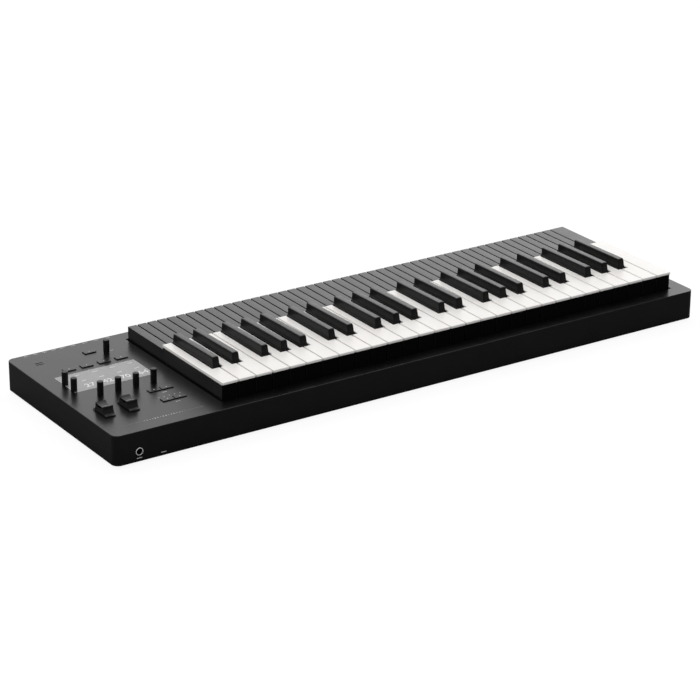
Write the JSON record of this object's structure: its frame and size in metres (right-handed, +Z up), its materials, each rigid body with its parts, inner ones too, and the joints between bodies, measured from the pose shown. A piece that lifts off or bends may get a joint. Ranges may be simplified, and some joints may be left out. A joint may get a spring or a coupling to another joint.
{
  "type": "synthesizer",
  "caption": "Flat desk synthesizer: long-lever piano keys that press and sway, with a control panel of slim knobs, flat buttons, two sliders and a display at the left",
  "frame": {"origin": "middle of the footprint, on the surface that the feet stand on", "axes": "+X along the keyboard towards the high keys, -Y towards the player, +Z up"},
  "size_m": [0.86, 0.273, 0.0766],
  "materials": {
    "case": "matte black powder coat",
    "plate": "matte black",
    "rubber": "matte",
    "screw_steel": "black oxide",
    "chassis_steel": "zinc plated",
    "felt": "wool felt",
    "rail": "anodised",
    "circuit_board": "solder mask",
    "white_key": "satin moulded",
    "black_key": "matte moulded",
    "hinge_plastic": "moulded acetal",
    "window_glass": "satin cover lens",
    "screen": "display panel",
    "knob": "black anodised",
    "button": "matte moulded",
    "slider": "soft touch",
    "switchgear": "moulded",
    "socket": "moulded with plated ring"
  },
  "bodies": {
    "case": {"audio_sockets": "socket", "bottom_plate": "plate", "button_switches": "switchgear", "control_board": "circuit_board", "data_and_power_sockets": "socket", "display_screen": "screen", "display_window": "window_glass", "key_chassis": "chassis_steel", "key_felts": "felt", "key_rail": "rail", "key_sensor_board": "circuit_board", "knob_encoders": "switchgear", "main_board": "circuit_board", "rubber_feet": "rubber", "screws": "screw_steel", "slider_tracks": "switchgear", "top_case": "case"},
    "bend_slider": {"bend_slider": "slider"},
    "edit_left_button": {"edit_left_button": "button"},
    "edit_right_button": {"edit_right_button": "button"},
    "home_button": {"home_button": "button"},
    "modulation_slider": {"modulation_slider": "slider"},
    "octave_down_button": {"octave_down_button": "button"},
    "octave_up_button": {"octave_up_button": "button"},
    "page_button_1": {"page_button_1": "button"},
    "page_button_2": {"page_button_2": "button"},
    "page_button_3": {"page_button_3": "button"},
    "page_button_4": {"page_button_4": "button"},
    "page_knob": {"page_knob": "knob"},
    "power_button": {"power_button": "button"},
    "preset_knob": {"preset_knob": "knob"},
    "sound_knob_1": {"sound_knob_1": "knob"},
    "sound_knob_2": {"sound_knob_2": "knob"},
    "sound_knob_3": {"sound_knob_3": "knob"},
    "sound_knob_4": {"sound_knob_4": "knob"},
    "volume_knob": {"volume_knob": "knob"},
    "c_hinges": {"key_hinges_c": "hinge_plastic"},
    "c_keys": {"keys_c": "white_key"},
    "c_sharp_hinges": {"key_hinges_c_sharp": "hinge_plastic"},
    "c_sharp_keys": {"keys_c_sharp": "black_key"},
    "d_hinges": {"key_hinges_d": "hinge_plastic"},
    "d_keys": {"keys_d": "white_key"},
    "d_sharp_hinges": {"key_hinges_d_sharp": "hinge_plastic"},
    "d_sharp_keys": {"keys_d_sharp": "black_key"},
    "e_hinges": {"key_hinges_e": "hinge_plastic"},
    "e_keys": {"keys_e": "white_key"},
    "f_hinges": {"key_hinges_f": "hinge_plastic"},
    "f_keys": {"keys_f": "white_key"},
    "f_sharp_hinges": {"key_hinges_f_sharp": "hinge_plastic"},
    "f_sharp_keys": {"keys_f_sharp": "black_key"},
    "g_hinges": {"key_hinges_g": "hinge_plastic"},
    "g_keys": {"keys_g": "white_key"},
    "g_sharp_hinges": {"key_hinges_g_sharp": "hinge_plastic"},
    "g_sharp_keys": {"keys_g_sharp": "black_key"},
    "a_hinges": {"key_hinges_a": "hinge_plastic"},
    "a_keys": {"keys_a": "white_key"},
    "a_sharp_hinges": {"key_hinges_a_sharp": "hinge_plastic"},
    "a_sharp_keys": {"keys_a_sharp": "black_key"},
    "b_hinges": {"key_hinges_b": "hinge_plastic"},
    "b_keys": {"keys_b": "white_key"}
  },
  "joints": [
    {"name": "bend_slider_travel", "type": "slide", "parent": "case", "child": "bend_slider", "axis": [0, 1, 0], "range_m": [-0.009, 0.009], "stiffness_N_per_m": 60},
    {"name": "edit_left_button_press", "type": "slide", "parent": "case", "child": "edit_left_button", "axis": [0, 0, -1], "range_m": [0, 0.0006], "stiffness_N_per_m": 500, "springref_m": -0.002},
    {"name": "edit_right_button_press", "type": "slide", "parent": "case", "child": "edit_right_button", "axis": [0, 0, -1], "range_m": [0, 0.0006], "stiffness_N_per_m": 500, "springref_m": -0.002},
    {"name": "home_button_press", "type": "slide", "parent": "case", "child": "home_button", "axis": [0, 0, -1], "range_m": [0, 0.0006], "stiffness_N_per_m": 500, "springref_m": -0.002},
    {"name": "modulation_slider_travel", "type": "slide", "parent": "case", "child": "modulation_slider", "axis": [0, 1, 0], "range_m": [-0.009, 0.009]},
    {"name": "octave_down_button_press", "type": "slide", "parent": "case", "child": "octave_down_button", "axis": [0, 0, -1], "range_m": [0, 0.0006], "stiffness_N_per_m": 500, "springref_m": -0.002},
    {"name": "octave_up_button_press", "type": "slide", "parent": "case", "child": "octave_up_button", "axis": [0, 0, -1], "range_m": [0, 0.0006], "stiffness_N_per_m": 500, "springref_m": -0.002},
    {"name": "page_button_1_press", "type": "slide", "parent": "case", "child": "page_button_1", "axis": [0, 0, -1], "range_m": [0, 0.0006], "stiffness_N_per_m": 500, "springref_m": -0.002},
    {"name": "page_button_2_press", "type": "slide", "parent": "case", "child": "page_button_2", "axis": [0, 0, -1], "range_m": [0, 0.0006], "stiffness_N_per_m": 500, "springref_m": -0.002},
    {"name": "page_button_3_press", "type": "slide", "parent": "case", "child": "page_button_3", "axis": [0, 0, -1], "range_m": [0, 0.0006], "stiffness_N_per_m": 500, "springref_m": -0.002},
    {"name": "page_button_4_press", "type": "slide", "parent": "case", "child": "page_button_4", "axis": [0, 0, -1], "range_m": [0, 0.0006], "stiffness_N_per_m": 500, "springref_m": -0.002},
    {"name": "page_knob_turn", "type": "hinge", "parent": "case", "child": "page_knob", "pos_m": [-0.4053, 0.007, 0.0416], "axis": [0, 0, 1], "continuous": true},
    {"name": "power_button_press", "type": "slide", "parent": "case", "child": "power_button", "axis": [0, -1, 0], "range_m": [0, 0.0015], "stiffness_N_per_m": 400, "springref_m": -0.003},
    {"name": "preset_knob_turn", "type": "hinge", "parent": "case", "child": "preset_knob", "pos_m": [-0.4053, 0.0295, 0.0416], "axis": [0, 0, 1], "continuous": true},
    {"name": "sound_knob_1_turn", "type": "hinge", "parent": "case", "child": "sound_knob_1", "pos_m": [-0.384, -0.019, 0.0416], "axis": [0, 0, 1], "continuous": true},
    {"name": "sound_knob_2_turn", "type": "hinge", "parent": "case", "child": "sound_knob_2", "pos_m": [-0.36, -0.019, 0.0416], "axis": [0, 0, 1], "continuous": true},
    {"name": "sound_knob_3_turn", "type": "hinge", "parent": "case", "child": "sound_knob_3", "pos_m": [-0.336, -0.019, 0.0416], "axis": [0, 0, 1], "continuous": true},
    {"name": "sound_knob_4_turn", "type": "hinge", "parent": "case", "child": "sound_knob_4", "pos_m": [-0.312, -0.019, 0.0416], "axis": [0, 0, 1], "continuous": true},
    {"name": "volume_knob_turn", "type": "hinge", "parent": "case", "child": "volume_knob", "pos_m": [-0.316, 0.091, 0.0416], "axis": [0, 0, 1], "continuous": true},
    {"name": "c_keys_sway", "type": "slide", "parent": "case", "child": "c_hinges", "axis": [1, 0, 0], "range_m": [-0.0007, 0.0007], "stiffness_N_per_m": 1500},
    {"name": "c_keys_press", "type": "hinge", "parent": "c_hinges", "child": "c_keys", "pos_m": [0, 0.101, 0.044], "axis": [1, 0, 0], "range_deg": [0, 3.73], "stiffness_Nm_per_rad": 4, "springref_deg": -9.17},
    {"name": "c_sharp_keys_sway", "type": "slide", "parent": "case", "child": "c_sharp_hinges", "axis": [1, 0, 0], "range_m": [-0.0007, 0.0007], "stiffness_N_per_m": 1500},
    {"name": "c_sharp_keys_press", "type": "hinge", "parent": "c_sharp_hinges", "child": "c_sharp_keys", "pos_m": [0, 0.101, 0.044], "axis": [1, 0, 0], "range_deg": [0, 3.73], "stiffness_Nm_per_rad": 4, "springref_deg": -9.17},
    {"name": "d_keys_sway", "type": "slide", "parent": "case", "child": "d_hinges", "axis": [1, 0, 0], "range_m": [-0.0007, 0.0007], "stiffness_N_per_m": 1500},
    {"name": "d_keys_press", "type": "hinge", "parent": "d_hinges", "child": "d_keys", "pos_m": [0, 0.101, 0.044], "axis": [1, 0, 0], "range_deg": [0, 3.73], "stiffness_Nm_per_rad": 4, "springref_deg": -9.17},
    {"name": "d_sharp_keys_sway", "type": "slide", "parent": "case", "child": "d_sharp_hinges", "axis": [1, 0, 0], "range_m": [-0.0007, 0.0007], "stiffness_N_per_m": 1500},
    {"name": "d_sharp_keys_press", "type": "hinge", "parent": "d_sharp_hinges", "child": "d_sharp_keys", "pos_m": [0, 0.101, 0.044], "axis": [1, 0, 0], "range_deg": [0, 3.73], "stiffness_Nm_per_rad": 4, "springref_deg": -9.17},
    {"name": "e_keys_sway", "type": "slide", "parent": "case", "child": "e_hinges", "axis": [1, 0, 0], "range_m": [-0.0007, 0.0007], "stiffness_N_per_m": 1500},
    {"name": "e_keys_press", "type": "hinge", "parent": "e_hinges", "child": "e_keys", "pos_m": [0, 0.101, 0.044], "axis": [1, 0, 0], "range_deg": [0, 3.73], "stiffness_Nm_per_rad": 4, "springref_deg": -9.17},
    {"name": "f_keys_sway", "type": "slide", "parent": "case", "child": "f_hinges", "axis": [1, 0, 0], "range_m": [-0.0007, 0.0007], "stiffness_N_per_m": 1500},
    {"name": "f_keys_press", "type": "hinge", "parent": "f_hinges", "child": "f_keys", "pos_m": [0, 0.101, 0.044], "axis": [1, 0, 0], "range_deg": [0, 3.73], "stiffness_Nm_per_rad": 4, "springref_deg": -9.17},
    {"name": "f_sharp_keys_sway", "type": "slide", "parent": "case", "child": "f_sharp_hinges", "axis": [1, 0, 0], "range_m": [-0.0007, 0.0007], "stiffness_N_per_m": 1500},
    {"name": "f_sharp_keys_press", "type": "hinge", "parent": "f_sharp_hinges", "child": "f_sharp_keys", "pos_m": [0, 0.101, 0.044], "axis": [1, 0, 0], "range_deg": [0, 3.73], "stiffness_Nm_per_rad": 4, "springref_deg": -9.17},
    {"name": "g_keys_sway", "type": "slide", "parent": "case", "child": "g_hinges", "axis": [1, 0, 0], "range_m": [-0.0007, 0.0007], "stiffness_N_per_m": 1500},
    {"name": "g_keys_press", "type": "hinge", "parent": "g_hinges", "child": "g_keys", "pos_m": [0, 0.101, 0.044], "axis": [1, 0, 0], "range_deg": [0, 3.73], "stiffness_Nm_per_rad": 4, "springref_deg": -9.17},
    {"name": "g_sharp_keys_sway", "type": "slide", "parent": "case", "child": "g_sharp_hinges", "axis": [1, 0, 0], "range_m": [-0.0007, 0.0007], "stiffness_N_per_m": 1500},
    {"name": "g_sharp_keys_press", "type": "hinge", "parent": "g_sharp_hinges", "child": "g_sharp_keys", "pos_m": [0, 0.101, 0.044], "axis": [1, 0, 0], "range_deg": [0, 3.73], "stiffness_Nm_per_rad": 4, "springref_deg": -9.17},
    {"name": "a_keys_sway", "type": "slide", "parent": "case", "child": "a_hinges", "axis": [1, 0, 0], "range_m": [-0.0007, 0.0007], "stiffness_N_per_m": 1500},
    {"name": "a_keys_press", "type": "hinge", "parent": "a_hinges", "child": "a_keys", "pos_m": [0, 0.101, 0.044], "axis": [1, 0, 0], "range_deg": [0, 3.73], "stiffness_Nm_per_rad": 4, "springref_deg": -9.17},
    {"name": "a_sharp_keys_sway", "type": "slide", "parent": "case", "child": "a_sharp_hinges", "axis": [1, 0, 0], "range_m": [-0.0007, 0.0007], "stiffness_N_per_m": 1500},
    {"name": "a_sharp_keys_press", "type": "hinge", "parent": "a_sharp_hinges", "child": "a_sharp_keys", "pos_m": [0, 0.101, 0.044], "axis": [1, 0, 0], "range_deg": [0, 3.73], "stiffness_Nm_per_rad": 4, "springref_deg": -9.17},
    {"name": "b_keys_sway", "type": "slide", "parent": "case", "child": "b_hinges", "axis": [1, 0, 0], "range_m": [-0.0007, 0.0007], "stiffness_N_per_m": 1500},
    {"name": "b_keys_press", "type": "hinge", "parent": "b_hinges", "child": "b_keys", "pos_m": [0, 0.101, 0.044], "axis": [1, 0, 0], "range_deg": [0, 3.73], "stiffness_Nm_per_rad": 4, "springref_deg": -9.17}
  ]
}
